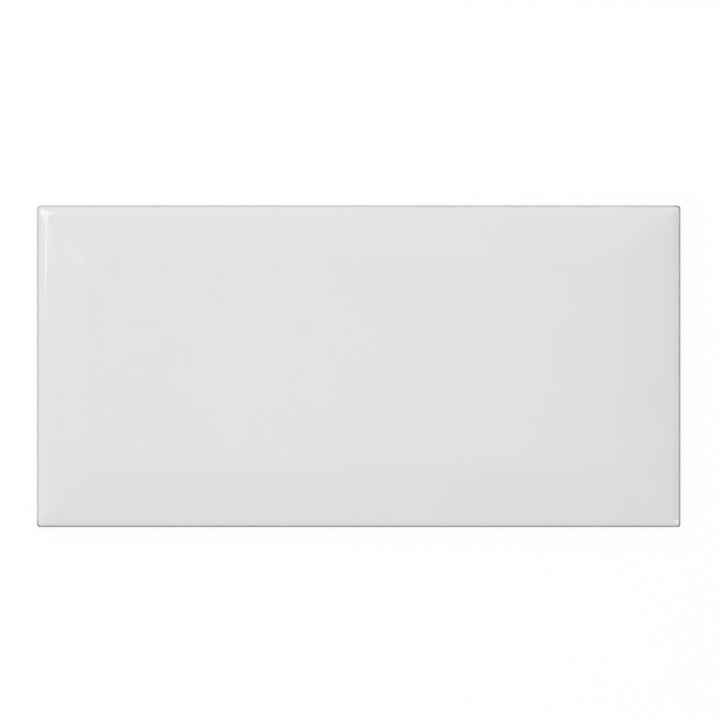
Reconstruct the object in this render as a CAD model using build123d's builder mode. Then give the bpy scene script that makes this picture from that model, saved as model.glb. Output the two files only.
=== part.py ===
from build123d import *
from math import cos, radians, sin, tan
import os

# Bevelled ceramic wall tile, pressed and fired as one piece.
# It lies on its keyed back with the glazed face up: X runs along its length, Y across its width
# and Z out of the face. The origin is at the middle of the back. All sizes are in millimetres.

# Outline
length = 200.0
width = 100.0
thickness = 7.0
corner_radius = 1.0

# Bevel: the slope from the rim up to the flat field, mitred at the corners
bevel_width = 17.0
bevel_angle = 8.25
field_corner_radius = 7.0
field_blend_radius = 30.0

# Lip: the face rolls over in two arcs, a wide one and a tight one next to the side
lip_radius = 10.0
lip_angle = 25.0
arris_radius = 1.3
mitre_allowance = 0.05

# Back: a chamfered arris and a grid of shallow keys for the adhesive
back_chamfer = 0.6
key_size = 9.0
key_rib = 2.0
key_depth = 0.6
key_draft = 20.0
key_margin = 5.0

# Widths and heights that follow from the section
bevel_slope = tan(radians(bevel_angle))
rim_height = thickness - bevel_width * bevel_slope
arris_width = arris_radius * (1 - sin(radians(lip_angle)))
arris_rise = arris_radius * cos(radians(lip_angle))
lip_width = lip_radius * (sin(radians(lip_angle)) - sin(radians(bevel_angle)))
lip_rise = lip_radius * (cos(radians(bevel_angle)) - cos(radians(lip_angle)))
lip_top = rim_height + (arris_width + lip_width) * bevel_slope
side_height = lip_top - lip_rise - arris_rise
mitre_radius = min(corner_radius, arris_radius - mitre_allowance)
key_pitch = key_size + key_rib


def section(span):
    """Outline of the section across a span: back, upright sides, rolled lips, bevels and field."""
    with BuildLine() as outline:
        side = Line((-span / 2, 0), (-span / 2, side_height))
        arris = JernArc(side @ 1, side % 1, arris_radius, lip_angle - 90)
        lip = JernArc(arris @ 1, arris % 1, lip_radius, bevel_angle - lip_angle)
        bevel = Line(lip @ 1, (bevel_width - span / 2, thickness))
        Line(bevel @ 1, (0, thickness))
        mirror(about=Plane.YZ)
        Line((-span / 2, 0), (span / 2, 0))
    return outline.edges()


def is_mitre(edge):
    """True for an edge down a corner: its middle is as far in from the end as from the long side."""
    middle = edge @ 0.5
    return abs((length / 2 - abs(middle.X)) - (width / 2 - abs(middle.Y))) < 0.001


def keys_along(span):
    """Number of keys that fit along a side and leave at least the margin at each end."""
    return int((span - 2 * key_margin + key_rib) // key_pitch)


# Envelope of the face, whose mitres widen into cones from the rim towards the field
with BuildPart() as envelope:
    with BuildSketch():
        RectangleRounded(length, width, mitre_radius)
    extrude(amount=rim_height)
    with BuildSketch(Plane.XY.offset(rim_height)):
        RectangleRounded(length, width, mitre_radius)
    with BuildSketch(Plane.XY.offset(thickness)):
        RectangleRounded(length - 2 * bevel_width, width - 2 * bevel_width, field_corner_radius)
    loft(ruled=True)

with BuildPart() as wall_tile:
    # The lengthways section and the crossways section meet in mitres at the four corners
    with BuildSketch(Plane.XZ):
        make_face(section(length))
    extrude(amount=width / 2, both=True)
    with BuildSketch(Plane.YZ):
        make_face(section(width))
    extrude(amount=length / 2, both=True, mode=Mode.INTERSECT)
    fillet(wall_tile.edges().filter_by(is_mitre), radius=mitre_radius)
    add(envelope.part, mode=Mode.INTERSECT)

    # Soft break between the bevel and the flat field
    field = wall_tile.faces().sort_by(Axis.Z)[-1]
    fillet(field.edges(), radius=field_blend_radius)

    # Arris round the back
    back = wall_tile.faces().sort_by(Axis.Z)[0]
    chamfer(back.edges(), length=back_chamfer)

    # Keys sunk in the back, with drafted walls
    with BuildSketch():
        with GridLocations(key_pitch, key_pitch, keys_along(length), keys_along(width)):
            Rectangle(key_size, key_size)
    extrude(amount=key_depth, taper=key_draft, mode=Mode.SUBTRACT)

wall_tile.part.label = "wall_tile"

os.makedirs("parts", exist_ok=True)
export_step(wall_tile.part, "parts/wall_tile.step")
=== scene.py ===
import math

import bmesh
import bpy
import numpy as np
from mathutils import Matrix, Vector, noise


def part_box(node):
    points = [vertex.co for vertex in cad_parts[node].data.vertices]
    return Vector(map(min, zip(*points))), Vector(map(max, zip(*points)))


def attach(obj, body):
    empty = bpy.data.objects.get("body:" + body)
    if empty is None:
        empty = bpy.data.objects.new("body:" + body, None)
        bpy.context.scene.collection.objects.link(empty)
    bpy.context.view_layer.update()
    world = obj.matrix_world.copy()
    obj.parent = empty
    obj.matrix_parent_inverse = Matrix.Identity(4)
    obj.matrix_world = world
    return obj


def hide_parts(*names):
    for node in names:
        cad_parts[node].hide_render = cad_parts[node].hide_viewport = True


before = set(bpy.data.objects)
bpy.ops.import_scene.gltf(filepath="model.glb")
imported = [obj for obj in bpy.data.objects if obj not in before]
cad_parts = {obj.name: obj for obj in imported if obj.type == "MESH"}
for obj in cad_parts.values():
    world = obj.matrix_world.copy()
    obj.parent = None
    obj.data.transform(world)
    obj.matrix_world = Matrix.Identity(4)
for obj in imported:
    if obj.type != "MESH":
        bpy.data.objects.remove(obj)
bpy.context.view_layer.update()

# A white bevelled wall tile that lies on its back, seen square on from above. X runs along its length,
# Y across its width and Z out of the glazed face. Lengths are in metres.
MM = 0.001
TILE_LOW, TILE_HIGH = (np.array(corner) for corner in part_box("wall_tile"))
LENGTH, WIDTH, THICKNESS = TILE_HIGH - TILE_LOW

# Section of the face, as in the solid
BEVEL_WIDTH = 17.0 * MM
BEVEL_ANGLE = math.radians(8.25)
FIELD_CORNER_RADIUS = 7.0 * MM
BREAK_RADIUS = 30.0 * MM
LIP_RADIUS = 10.0 * MM
LIP_ANGLE = math.radians(25.0)
ARRIS_RADIUS = 1.3 * MM

# Back, as in the solid
BACK_CHAMFER = 0.6 * MM
KEY_SIZE = 9.0 * MM
KEY_RIB = 2.0 * MM
KEY_DEPTH = 0.6 * MM
KEY_MARGIN = 5.0 * MM

# Where one stretch of the section ends and the next begins: inset from the outline, and height
BEVEL_SLOPE = math.tan(BEVEL_ANGLE)
RIM_HEIGHT = THICKNESS - BEVEL_WIDTH * BEVEL_SLOPE
ARRIS_INSET = ARRIS_RADIUS * (1 - math.sin(LIP_ANGLE))
ARRIS_RISE = ARRIS_RADIUS * math.cos(LIP_ANGLE)
LIP_INSET = ARRIS_INSET + LIP_RADIUS * (math.sin(LIP_ANGLE) - math.sin(BEVEL_ANGLE))
LIP_RISE = LIP_RADIUS * (math.cos(BEVEL_ANGLE) - math.cos(LIP_ANGLE))
SIDE_HEIGHT = RIM_HEIGHT + LIP_INSET * BEVEL_SLOPE - LIP_RISE - ARRIS_RISE
BREAK_REACH = BREAK_RADIUS * math.tan(BEVEL_ANGLE / 2)
BREAK_START = BEVEL_WIDTH - BREAK_REACH * math.cos(BEVEL_ANGLE)
BREAK_END = BEVEL_WIDTH + BREAK_REACH
KEY_PITCH = KEY_SIZE + KEY_RIB

# The four corners of the rim are a little unlike, by (sign of x, sign of y)
RIM_CORNER_RADII = {(-1, 1): 1.25 * MM, (1, 1): 0.95 * MM, (1, -1): 0.8 * MM, (-1, -1): 0.8 * MM}

# The field is pressed a little off the middle, towards the upper left
FIELD_OFFSET = np.array([-1.5 * MM, 1.6 * MM])

# Fineness of the mesh
FIELD_STEP = 1.6 * MM
BEVEL_STEPS = 14
BREAK_STEPS = 12
LIP_STEPS = 20
ARRIS_STEPS = 14
SIDE_ROWS = 6
CHAMFER_EASE = 0.06 * MM
KEY_WALL = 0.4 * MM
KEY_WALL_LINES = 5
KEY_SUPPORT = 0.15 * MM
BACK_FRAME = 4.0 * MM
LEAST_RADIUS = 0.01 * MM
WELD = 0.0002 * MM

# Unevenness of the fired glaze: height and length of its waves
SLOW_WAVE = (0.022 * MM, 24.0 * MM)
QUICK_WAVE = (0.005 * MM, 6.0 * MM)
WAVE_FADE = 2.5 * MM

# Texture sheet: its side, the gap between islands and the height of a side strip
SHEET = 0.24
SHEET_GAP = 4.0 * MM
STRIP = 5.0 * MM

# Camera: straight above, with the tile a little off the middle of the picture. The picture's width is taken
# at the height of the picture plane, near the tile's outline.
CAMERA_HEIGHT = 1.2
CAMERA_OFFSET = (1.02 * MM, 1.33 * MM)
PICTURE_WIDTH = 225.1 * MM
PICTURE_PLANE = 2.8 * MM
SENSOR = 36.0


def face_height(inset):
    """Height of the face at an inset from the outline: arris, lip, bevel, break and field."""
    lip_centre = LIP_INSET + LIP_RADIUS * math.sin(BEVEL_ANGLE)
    lip_base = SIDE_HEIGHT + ARRIS_RISE - LIP_RADIUS * math.cos(LIP_ANGLE)

    def arc(radius, centre, base):
        return base + np.sqrt(np.clip(radius ** 2 - (centre - inset) ** 2, 0, None))

    stretches = [inset < ARRIS_INSET, inset < LIP_INSET, inset < BREAK_START, inset < BREAK_END]
    heights = [
        arc(ARRIS_RADIUS, ARRIS_RADIUS, SIDE_HEIGHT),
        arc(LIP_RADIUS, lip_centre, lip_base),
        RIM_HEIGHT + inset * BEVEL_SLOPE,
        arc(BREAK_RADIUS, BREAK_END, THICKNESS - BREAK_RADIUS),
    ]
    return np.select(stretches, heights, default=THICKNESS)


def rim_lines():
    """Insets of the mesh lines from the outline to the field, close together where the section turns."""
    arris_turns = np.linspace(math.pi / 2, LIP_ANGLE, ARRIS_STEPS, endpoint=False)
    lip_turns = np.linspace(LIP_ANGLE, BEVEL_ANGLE, LIP_STEPS, endpoint=False)
    lip_centre = LIP_INSET + LIP_RADIUS * math.sin(BEVEL_ANGLE)
    return np.concatenate([
        ARRIS_RADIUS * (1 - np.sin(arris_turns)),
        lip_centre - LIP_RADIUS * np.sin(lip_turns),
        np.linspace(LIP_INSET, BREAK_START, BEVEL_STEPS, endpoint=False),
        np.linspace(BREAK_START, BREAK_END, BREAK_STEPS + 1),
    ])


def face_lines(span):
    """Places of the mesh lines across a span of the face."""
    rim = rim_lines()
    field_half = span / 2 - rim[-1]
    field = np.linspace(-field_half, field_half, int(2 * field_half / FIELD_STEP))
    return np.concatenate([rim - span / 2, field[1:-1], (span / 2 - rim)[::-1]])


def unrolled(lines, span):
    """The lines of the face as they lie when its section is rolled out flat, for the texture sheet."""
    heights = face_height(span / 2 - np.abs(lines))
    runs = np.hypot(np.diff(lines), np.diff(heights))
    return np.concatenate([[0], np.cumsum(runs)])


def level_radius(inset, x, y):
    """Corner radius of the level line at an inset: it grows from the rim to the break, then shrinks."""
    rim = np.zeros_like(inset)
    for (side_x, side_y), radius in RIM_CORNER_RADII.items():
        rim[(x * side_x >= 0) & (y * side_y >= 0)] = radius
    growth = (FIELD_CORNER_RADIUS - rim) / BEVEL_WIDTH
    break_width = BREAK_END - BREAK_START
    turning = np.clip(inset - BREAK_START, 0, break_width) ** 2 / (2 * break_width)
    past = np.clip(inset - BREAK_END, 0, None)
    radius = rim + growth * inset - (1 + growth) * (turning + past)
    return np.clip(radius, LEAST_RADIUS, None)


def wave(x, y, size):
    """Smooth seeded unevenness at a point of a surface, from about minus to plus its height."""
    height, length = size
    return height * noise.noise(Vector((x / length, y / length, height / MM)))


def face_grid():
    """Points of the glazed face, as a grid whose outer lines are rounded into the corners."""
    x, y = np.meshgrid(face_lines(LENGTH), face_lines(WIDTH), indexing="ij")
    from_end = LENGTH / 2 - np.abs(x)
    from_side = WIDTH / 2 - np.abs(y)
    inset = np.minimum(from_end, from_side)
    along = np.abs(from_end - from_side)

    radius = level_radius(inset, x, y)
    turn = np.clip(1 - along / radius, 0, 1) * math.pi / 4
    near = inset + radius * (1 - np.cos(turn))
    far = np.where(along < radius, inset + radius * (1 - np.sin(turn)), inset + along)
    beside_end = from_end < from_side
    round_x = np.sign(x) * (LENGTH / 2 - np.where(beside_end, near, far))
    round_y = np.sign(y) * (WIDTH / 2 - np.where(beside_end, far, near))
    drift = np.clip((inset - ARRIS_INSET) / (BREAK_END - ARRIS_INSET), 0, 1)
    round_x += drift * FIELD_OFFSET[0]
    round_y += drift * FIELD_OFFSET[1]

    waves = np.vectorize(lambda a, b: wave(a, b, SLOW_WAVE) + wave(a, b, QUICK_WAVE))(round_x, round_y)
    height = face_height(inset) + waves * np.clip(inset / WAVE_FADE, 0, 1) - np.max(waves)
    return np.stack([round_x, round_y, height], axis=-1)


def key_lines(span):
    """Places of the mesh lines across a span of the back, and how far each is let into the keys, 0 to 1."""
    count = int((span - 2 * KEY_MARGIN + KEY_RIB) // KEY_PITCH)
    wall = np.linspace(0, KEY_WALL, KEY_WALL_LINES)
    half = KEY_SIZE / 2 - np.concatenate([[-KEY_SUPPORT], wall, [KEY_WALL + KEY_SUPPORT, KEY_SIZE / 2]])
    across = np.concatenate([-half, half[-2::-1]])
    share = np.clip((KEY_SIZE / 2 - np.abs(across)) / KEY_WALL, 0, 1)
    depth = share ** 2 * (3 - 2 * share)
    centres = (np.arange(count) - (count - 1) / 2) * KEY_PITCH
    ends = [BACK_FRAME - span / 2, span / 2 - BACK_FRAME]
    lines = np.concatenate([ends[:1], (centres[:, None] + across).ravel(), ends[1:]])
    return lines, np.concatenate([[0], np.tile(depth, count), [0]])


def back_grid():
    """Points of the keyed back inside its plain frame."""
    lines_x, depth_x = key_lines(LENGTH)
    lines_y, depth_y = key_lines(WIDTH)
    x, y = np.meshgrid(lines_x, lines_y, indexing="ij")
    return np.stack([x, y, KEY_DEPTH * np.outer(depth_x, depth_y)], axis=-1)


def grid_quads(rows, columns):
    """Corners of the quads of a grid, counter-clockwise when rows run along X and columns along Y."""
    index = np.arange(rows * columns).reshape(rows, columns)
    corners = [index[:-1, :-1], index[1:, :-1], index[1:, 1:], index[:-1, 1:]]
    return np.stack(corners, axis=-1).reshape(-1, 4)


def outer_loop(grid):
    """Outer points of a grid, counter-clockwise from its lowest corner, as four runs that share ends."""
    return [grid[:, 0], grid[-1, :], grid[::-1, -1], grid[0, ::-1]]


def strip_triangles(outer, inner):
    """Triangles between two runs of points side by side, given their places along it from 0 to 1."""
    triangles = []
    i = j = 0
    while i < len(outer) - 1 or j < len(inner) - 1:
        step_outer = j == len(inner) - 1 or (i < len(outer) - 1 and outer[i + 1] <= inner[j + 1])
        if step_outer:
            triangles.append((i, len(outer) + j, i + 1))
            i += 1
        else:
            triangles.append((i, len(outer) + j, len(outer) + j + 1))
            j += 1
    return np.array(triangles)


class Shell:
    """Patches of a closed mesh, with the place of each of their points on the texture sheet."""

    def __init__(self):
        self.points = []
        self.faces = []
        self.places = []

    def add(self, points, faces, places):
        """Add a patch: its points, the points of each face, and the points' places on the sheet."""
        start = len(self.points)
        self.points.extend(points.reshape(-1, 3).tolist())
        self.faces.extend((faces + start).tolist())
        self.places.extend((places.reshape(-1, 2)[faces.ravel()] / SHEET).tolist())

    def build(self, name):
        """Weld the patches into one smooth object."""
        mesh = bpy.data.meshes.new(name)
        mesh.from_pydata(self.points, [], self.faces)
        texture_map = mesh.uv_layers.new(name="OFBake")
        texture_map.data.foreach_set("uv", np.array(self.places).ravel())
        weld = bmesh.new()
        weld.from_mesh(mesh)
        bmesh.ops.remove_doubles(weld, verts=weld.verts, dist=WELD)
        weld.to_mesh(mesh)
        weld.free()
        mesh.shade_smooth()
        piece = bpy.data.objects.new(name, mesh)
        bpy.context.collection.objects.link(piece)
        return piece


def add_face(shell, grid):
    """Glazed face, rolled out flat on the texture sheet."""
    along = unrolled(face_lines(LENGTH), LENGTH)
    across = unrolled(face_lines(WIDTH), WIDTH)
    places = np.stack(np.meshgrid(along, across, indexing="ij"), axis=-1) + SHEET_GAP
    shell.add(grid, grid_quads(*grid.shape[:2]), places)
    return across[-1] + 2 * SHEET_GAP


def side_levels():
    """Heights and insets of the rows of points down the side and round the chamfer at the back."""
    ease = CHAMFER_EASE
    upright = [(height, 0) for height in np.linspace(SIDE_HEIGHT, BACK_CHAMFER + 2 * ease, SIDE_ROWS)]
    chamfer = [(BACK_CHAMFER + ease, 0), (BACK_CHAMFER - ease, ease), (ease, BACK_CHAMFER - ease)]
    return upright + chamfer + [(0, BACK_CHAMFER + ease), (0, BACK_CHAMFER + 2 * ease)]


def outward(points):
    """Level direction out of the tile at points of its outline."""
    radius = level_radius(np.zeros(len(points)), points[:, 0], points[:, 1])
    reach = np.abs(points[:, :2]) - np.array([LENGTH, WIDTH]) / 2 + radius[:, None]
    reach = np.clip(reach, 0, None) * np.sign(points[:, :2])
    return reach / np.linalg.norm(reach, axis=1, keepdims=True)


def add_sides(shell, grid, sheet_top):
    """Four sides, each hung from its run of the rim; returns the lowest row of each."""
    levels = np.array(side_levels())
    drops = np.concatenate([[0], np.cumsum(np.hypot(*np.diff(levels, axis=0).T))])
    lowest = []
    for number, run in enumerate(outer_loop(grid)):
        rows = np.zeros((len(run), len(levels), 3))
        rows[:, :, :2] = run[:, None, :2] - outward(run)[:, None, :] * levels[None, :, 1:]
        rows[:, :, 2] = levels[:, 0]
        rows[:, 0, 2] = run[:, 2]
        distance = np.concatenate([[0], np.cumsum(np.linalg.norm(np.diff(run[:, :2], axis=0), axis=1))])
        places = np.stack(np.meshgrid(distance, -drops, indexing="ij"), axis=-1)
        places += SHEET_GAP, sheet_top + (number + 1) * STRIP
        shell.add(rows, grid_quads(*rows.shape[:2])[:, ::-1], places)
        lowest.append(rows[:, -1])
    return lowest, sheet_top + 4 * STRIP + SHEET_GAP


def along_run(run):
    """Places of points along their run, from 0 to 1."""
    distance = np.abs(run - run[0]).max(axis=1)
    return distance / distance[-1]


def add_back(shell, lowest, sheet_top):
    """Keyed back, and the plain frame that joins it to the lowest rows of the sides."""
    grid = back_grid()
    corner = np.array([LENGTH / 2 + SHEET_GAP, sheet_top + WIDTH / 2])

    def places(points):
        return points[..., :2] * (-1, 1) + corner

    shell.add(grid, grid_quads(*grid.shape[:2])[:, ::-1], places(grid))
    for outer, inner in zip(lowest, outer_loop(grid)):
        triangles = strip_triangles(along_run(outer), along_run(inner))
        points = np.concatenate([outer, inner])
        shell.add(points, triangles, places(points))


def make_tile():
    """The fired tile as one closed mesh: face, sides and keyed back."""
    shell = Shell()
    grid = face_grid()
    sheet_top = add_face(shell, grid)
    lowest, sheet_top = add_sides(shell, grid, sheet_top)
    add_back(shell, lowest, sheet_top)
    return shell.build("fired_tile")


def add_node(tree, kind, inputs=None, **settings):
    """A shader node with its settings; an input is a value or the output that feeds it."""
    node = tree.nodes.new(kind)
    for name, value in settings.items():
        setattr(node, name, value)
    for name, value in (inputs or {}).items():
        if isinstance(value, bpy.types.NodeSocket):
            tree.links.new(value, node.inputs[name])
        else:
            node.inputs[name].default_value = value
    return node


def maths(tree, operation, first, second):
    """Result of a maths node with two values."""
    return add_node(tree, "ShaderNodeMath", {0: first, 1: second}, operation=operation).outputs[0]


def ramp(tree, value, start, end, low=0.0, high=1.0):
    """Value taken smoothly from low to high as it goes from start to end."""
    inputs = {"Value": value, "From Min": start, "From Max": end, "To Min": low, "To Max": high}
    return add_node(tree, "ShaderNodeMapRange", inputs, interpolation_type="SMOOTHSTEP").outputs["Result"]


def mix_colours(tree, share, first, second):
    """First colour where the share is 0, second where it is 1."""
    mix = add_node(tree, "ShaderNodeMix", {0: share, 6: first, 7: second}, data_type="RGBA")
    return mix.outputs[2]


def grain(tree, place, length, detail=2.0):
    """Noise whose features are about one length across, from 0 to 1."""
    inputs = {"Vector": place, "Scale": 1 / length, "Detail": detail}
    return add_node(tree, "ShaderNodeTexNoise", inputs).outputs["Fac"]


# Glaze and body: colours
GLAZE = (0.779, 0.779, 0.779, 1)
GLAZE_CLOUD = (0.775, 0.775, 0.774, 1)
GLAZE_SPECK = (0.770, 0.770, 0.769, 1)
GLAZE_PINHOLE = (0.70, 0.695, 0.69, 1)
# Glaze thinned over the arris, greyed partly as painted shade of the steep edge
THIN_GLAZE_AND_SHADE = (0.58, 0.57, 0.57, 1)
# Painted shade on the arris of the right and lower sides
PAINTED_SHADE_GLAZE = (0.385, 0.375, 0.38, 1)
BODY = (0.66, 0.575, 0.505, 1)
BODY_DARK = (0.555, 0.465, 0.40, 1)

# Sizes of the marks in them, and the height of their relief
CLOUD_SIZE = 25.0 * MM
SPECK_SIZE = 0.9 * MM
PINHOLE_SPACING = 5.0 * MM
GLOSS_PATCH_SIZE = 9.0 * MM
PEEL_SIZE = 1.6 * MM
PEEL_SHARE = 0.12
GRAIN_SIZE = 0.7 * MM
GRAIN_HEIGHT = 0.03 * MM
BODY_PATCH_SIZE = 14.0 * MM

# Line where the glaze ends on the arris, the reach of the thin glaze above it, greyed partly as painted
# shade, and how far in from the right and lower ends the painted shade reaches
GLAZE_LINE = 3.4 * MM
GLAZE_LINE_WANDER = 0.3 * MM
GLAZE_LINE_WAVE = 4.0 * MM
GLAZE_LINE_BLUR = 0.1 * MM
THIN_GLAZE_AND_SHADE_REACH = (0.7 * MM, 0.85 * MM)
PAINTED_SHADE_REACH = (3.0 * MM, 1.5 * MM)

# Gloss
GLAZE_ROUGHNESS = (0.06, 0.1)
BODY_ROUGHNESS = 0.85
GLAZE_IOR = 1.52


def glaze_colour(tree, place):
    """White glaze with faint clouds, fine specks and a few pinholes."""
    clouds = ramp(tree, grain(tree, place, CLOUD_SIZE, 3.0), 0.35, 0.7)
    colour = mix_colours(tree, clouds, GLAZE, GLAZE_CLOUD)
    specks = ramp(tree, grain(tree, place, SPECK_SIZE, 2.0), 0.5, 0.72)
    colour = mix_colours(tree, specks, colour, GLAZE_SPECK)
    cells = add_node(tree, "ShaderNodeTexVoronoi", {"Vector": place, "Scale": 1 / PINHOLE_SPACING})
    pinholes = ramp(tree, cells.outputs["Distance"], 0.045, 0.02)
    return mix_colours(tree, pinholes, colour, GLAZE_PINHOLE)


def thin_glaze_and_shade_colour(tree, axes):
    """Glaze thinned over the arris and greyed partly as painted shade, with more painted shade on the right
    and lower sides.
    """
    right = ramp(tree, maths(tree, "SUBTRACT", LENGTH / 2, axes["X"]), *PAINTED_SHADE_REACH)
    lower = ramp(tree, maths(tree, "ADD", WIDTH / 2, axes["Y"]), *PAINTED_SHADE_REACH)
    return mix_colours(tree, maths(tree, "MAXIMUM", right, lower), THIN_GLAZE_AND_SHADE, PAINTED_SHADE_GLAZE)


def body_colour(tree, place, grains):
    """Pressed clay with darker grains and soft patches."""
    colour = mix_colours(tree, ramp(tree, grains, 0.42, 0.66), BODY, BODY_DARK)
    patches = ramp(tree, grain(tree, place, BODY_PATCH_SIZE, 3.0), 0.4, 0.68, 0.0, 0.4)
    return mix_colours(tree, patches, colour, BODY_DARK)


def make_ceramic():
    """White gloss glaze that thins over the arris and ends there, above a matt buff body; the arris is
    greyed partly as painted shade, and darker on the right and lower sides as painted shade.
    """
    material = bpy.data.materials.new("glazed_ceramic")
    material.use_nodes = True
    tree = material.node_tree
    shader = tree.nodes["Principled BSDF"]
    place = add_node(tree, "ShaderNodeTexCoord").outputs["Object"]
    axes = add_node(tree, "ShaderNodeSeparateXYZ", {0: place}).outputs
    grains = grain(tree, place, GRAIN_SIZE, 4.0)

    # The glaze covers what is above a wandering line
    wander = maths(tree, "MULTIPLY", grain(tree, place, GLAZE_LINE_WAVE, 3.0), GLAZE_LINE_WANDER)
    above = maths(tree, "SUBTRACT", maths(tree, "ADD", axes["Z"], wander), GLAZE_LINE)
    covered = ramp(tree, above, 0.0, GLAZE_LINE_BLUR)
    full = ramp(tree, above, *THIN_GLAZE_AND_SHADE_REACH)
    # Thin glaze over the arris, greyed partly as painted shade, with painted shade on the right and lower
    # sides
    glaze = mix_colours(tree, full, thin_glaze_and_shade_colour(tree, axes), glaze_colour(tree, place))
    colour = mix_colours(tree, covered, body_colour(tree, place, grains), glaze)
    tree.links.new(colour, shader.inputs["Base Color"])

    # Gloss of the glaze, slightly uneven, and the dry body
    gloss = ramp(tree, grain(tree, place, GLOSS_PATCH_SIZE), 0.3, 0.7, *GLAZE_ROUGHNESS)
    tree.links.new(ramp(tree, covered, 0.0, 1.0, BODY_ROUGHNESS, gloss), shader.inputs["Roughness"])
    shader.inputs["IOR"].default_value = GLAZE_IOR

    # Faint orange peel on the glaze, grain on the body
    peel = maths(tree, "MULTIPLY", grain(tree, place, PEEL_SIZE, 1.0), PEEL_SHARE)
    relief = add_node(tree, "ShaderNodeMix", {0: covered, 2: grains, 3: peel}, data_type="FLOAT").outputs[0]
    bump = add_node(tree, "ShaderNodeBump", {"Height": relief, "Strength": 1.0, "Distance": GRAIN_HEIGHT})
    tree.links.new(bump.outputs["Normal"], shader.inputs["Normal"])
    return material


# Studio: light from all round, and the floor
WORLD_LEVEL = 0.67
WORLD_BRIGHT_SIDE = (-0.12, 0.13, 0)
FLOOR_LEVEL = -0.05 * MM
FLOOR_SIZE = 6.0
FLOOR_GREY = (0.45, 0.45, 0.45, 1)
FLOOR_WHITE = (1, 1, 1, 1)
BACKGROUND_SHARE = 0.92
PANEL_HEIGHT = 0.5


def seen_directly(tree):
    """1 for the rays that show the background: camera, reflection and refraction rays."""
    path = add_node(tree, "ShaderNodeLightPath").outputs
    seen = maths(tree, "MAXIMUM", path["Is Camera Ray"], path["Is Glossy Ray"])
    return maths(tree, "MAXIMUM", seen, path["Is Transmission Ray"])


def make_floor():
    """Plain white floor that keeps a faint shadow of the tile."""
    bpy.ops.mesh.primitive_plane_add(size=FLOOR_SIZE, location=(0, 0, FLOOR_LEVEL))
    floor = bpy.context.object
    floor.name = "floor"
    material = bpy.data.materials.new("floor_white")
    material.use_nodes = True
    tree = material.node_tree
    tree.nodes.clear()
    seen = seen_directly(tree)
    colour = mix_colours(tree, seen, FLOOR_GREY, FLOOR_WHITE)
    matt = add_node(tree, "ShaderNodeBsdfDiffuse", {"Color": colour}).outputs[0]
    white = add_node(tree, "ShaderNodeEmission", {"Strength": 1.0}).outputs[0]
    share = maths(tree, "MULTIPLY", seen, BACKGROUND_SHARE)
    mix = add_node(tree, "ShaderNodeMixShader", {0: share, 1: matt, 2: white}).outputs[0]
    add_node(tree, "ShaderNodeOutputMaterial", {"Surface": mix})
    floor.data.materials.append(material)


def make_world():
    """Soft light from all round, brighter from the upper left, with a white background."""
    world = bpy.data.worlds.new("studio")
    world.use_nodes = True
    tree = world.node_tree
    direction = add_node(tree, "ShaderNodeTexCoord").outputs["Generated"]
    sides = {0: direction, 1: WORLD_BRIGHT_SIDE}
    facing = add_node(tree, "ShaderNodeVectorMath", sides, operation="DOT_PRODUCT")
    light = maths(tree, "ADD", facing.outputs["Value"], WORLD_LEVEL)
    level = ramp(tree, seen_directly(tree), 0.0, 1.0, light, 1.0)
    tree.links.new(level, tree.nodes["Background"].inputs["Strength"])
    tree.nodes["Background"].inputs["Color"].default_value = (1, 1, 1, 1)
    bpy.context.scene.world = world


def add_softbox(name, location, size, radiance, turn=0.0, target=None):
    """Oval area light that faces its target or straight down; radiance 1 is as bright as the background."""
    light = bpy.data.lights.new(name, "AREA")
    light.shape = "ELLIPSE"
    light.size, light.size_y = size
    light.energy = radiance * math.pi ** 2 * size[0] * size[1] / 4
    lamp = bpy.data.objects.new(name, light)
    lamp.location = location
    lamp.rotation_euler = (0, 0, math.radians(turn))
    if target:
        lamp.rotation_euler = (Vector(target) - Vector(location)).to_track_quat("-Z", "Y").to_euler()
    lamp.visible_camera = False
    bpy.context.collection.objects.link(lamp)
    return lamp


def add_panel(name, place, size, radiance, turn=0.0):
    """Lamp above the tile that shows only as a reflection in its glaze."""
    lamp = add_softbox(name, (*place, PANEL_HEIGHT), size, radiance, turn)
    lamp.visible_diffuse = False


def make_lights():
    """Soft lamps for the tile's tones, and panels for the reflections in its glaze."""
    key = add_softbox("key", (-1.2, 1.24, 2.0), (1.8, 1.8), 1.6, target=(0, 0, 0))
    overhead = add_softbox("overhead", (-0.03, 0.015, 0.35), (0.2, 0.2), 2.2)
    for lamp in (key, overhead):
        lamp.visible_glossy = False

    # Patch and streak at the upper left, and glints at a corner of the field and at the lower right
    add_panel("window", (-0.27, 0.22), (0.444, 0.145), 3.0, turn=59)
    add_panel("side_window", (-0.42, 0.207), (0.366, 0.11), 3.8, turn=49)
    add_panel("corner", (-0.23, 0.078), (0.09, 0.032), 1.0, turn=32)
    add_panel("glint", (0.43, -0.265), (0.34, 0.13), 4.6, turn=62)

    # Faint sheen along the lips
    add_panel("left_panel", (-0.56, 0.0), (0.46, 0.6), 0.3)
    add_panel("top_panel", (0.0, 0.5), (0.9, 0.46), 0.3)
    add_panel("bottom_panel", (0.0, -0.48), (0.9, 0.5), 0.45)


def make_camera():
    """Camera straight above the tile, with the top of the picture towards +Y."""
    camera = bpy.data.cameras.new("camera")
    camera.sensor_width = SENSOR
    camera.lens = SENSOR * (CAMERA_HEIGHT - PICTURE_PLANE) / PICTURE_WIDTH
    viewer = bpy.data.objects.new("camera", camera)
    viewer.location = (*CAMERA_OFFSET, CAMERA_HEIGHT)
    bpy.context.collection.objects.link(viewer)
    bpy.context.scene.camera = viewer


bpy.context.scene.view_settings.view_transform = "Standard"
tile = make_tile()
tile.data.materials.append(make_ceramic())
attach(tile, "root")
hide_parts("wall_tile")
make_floor()
make_world()
make_lights()
make_camera()
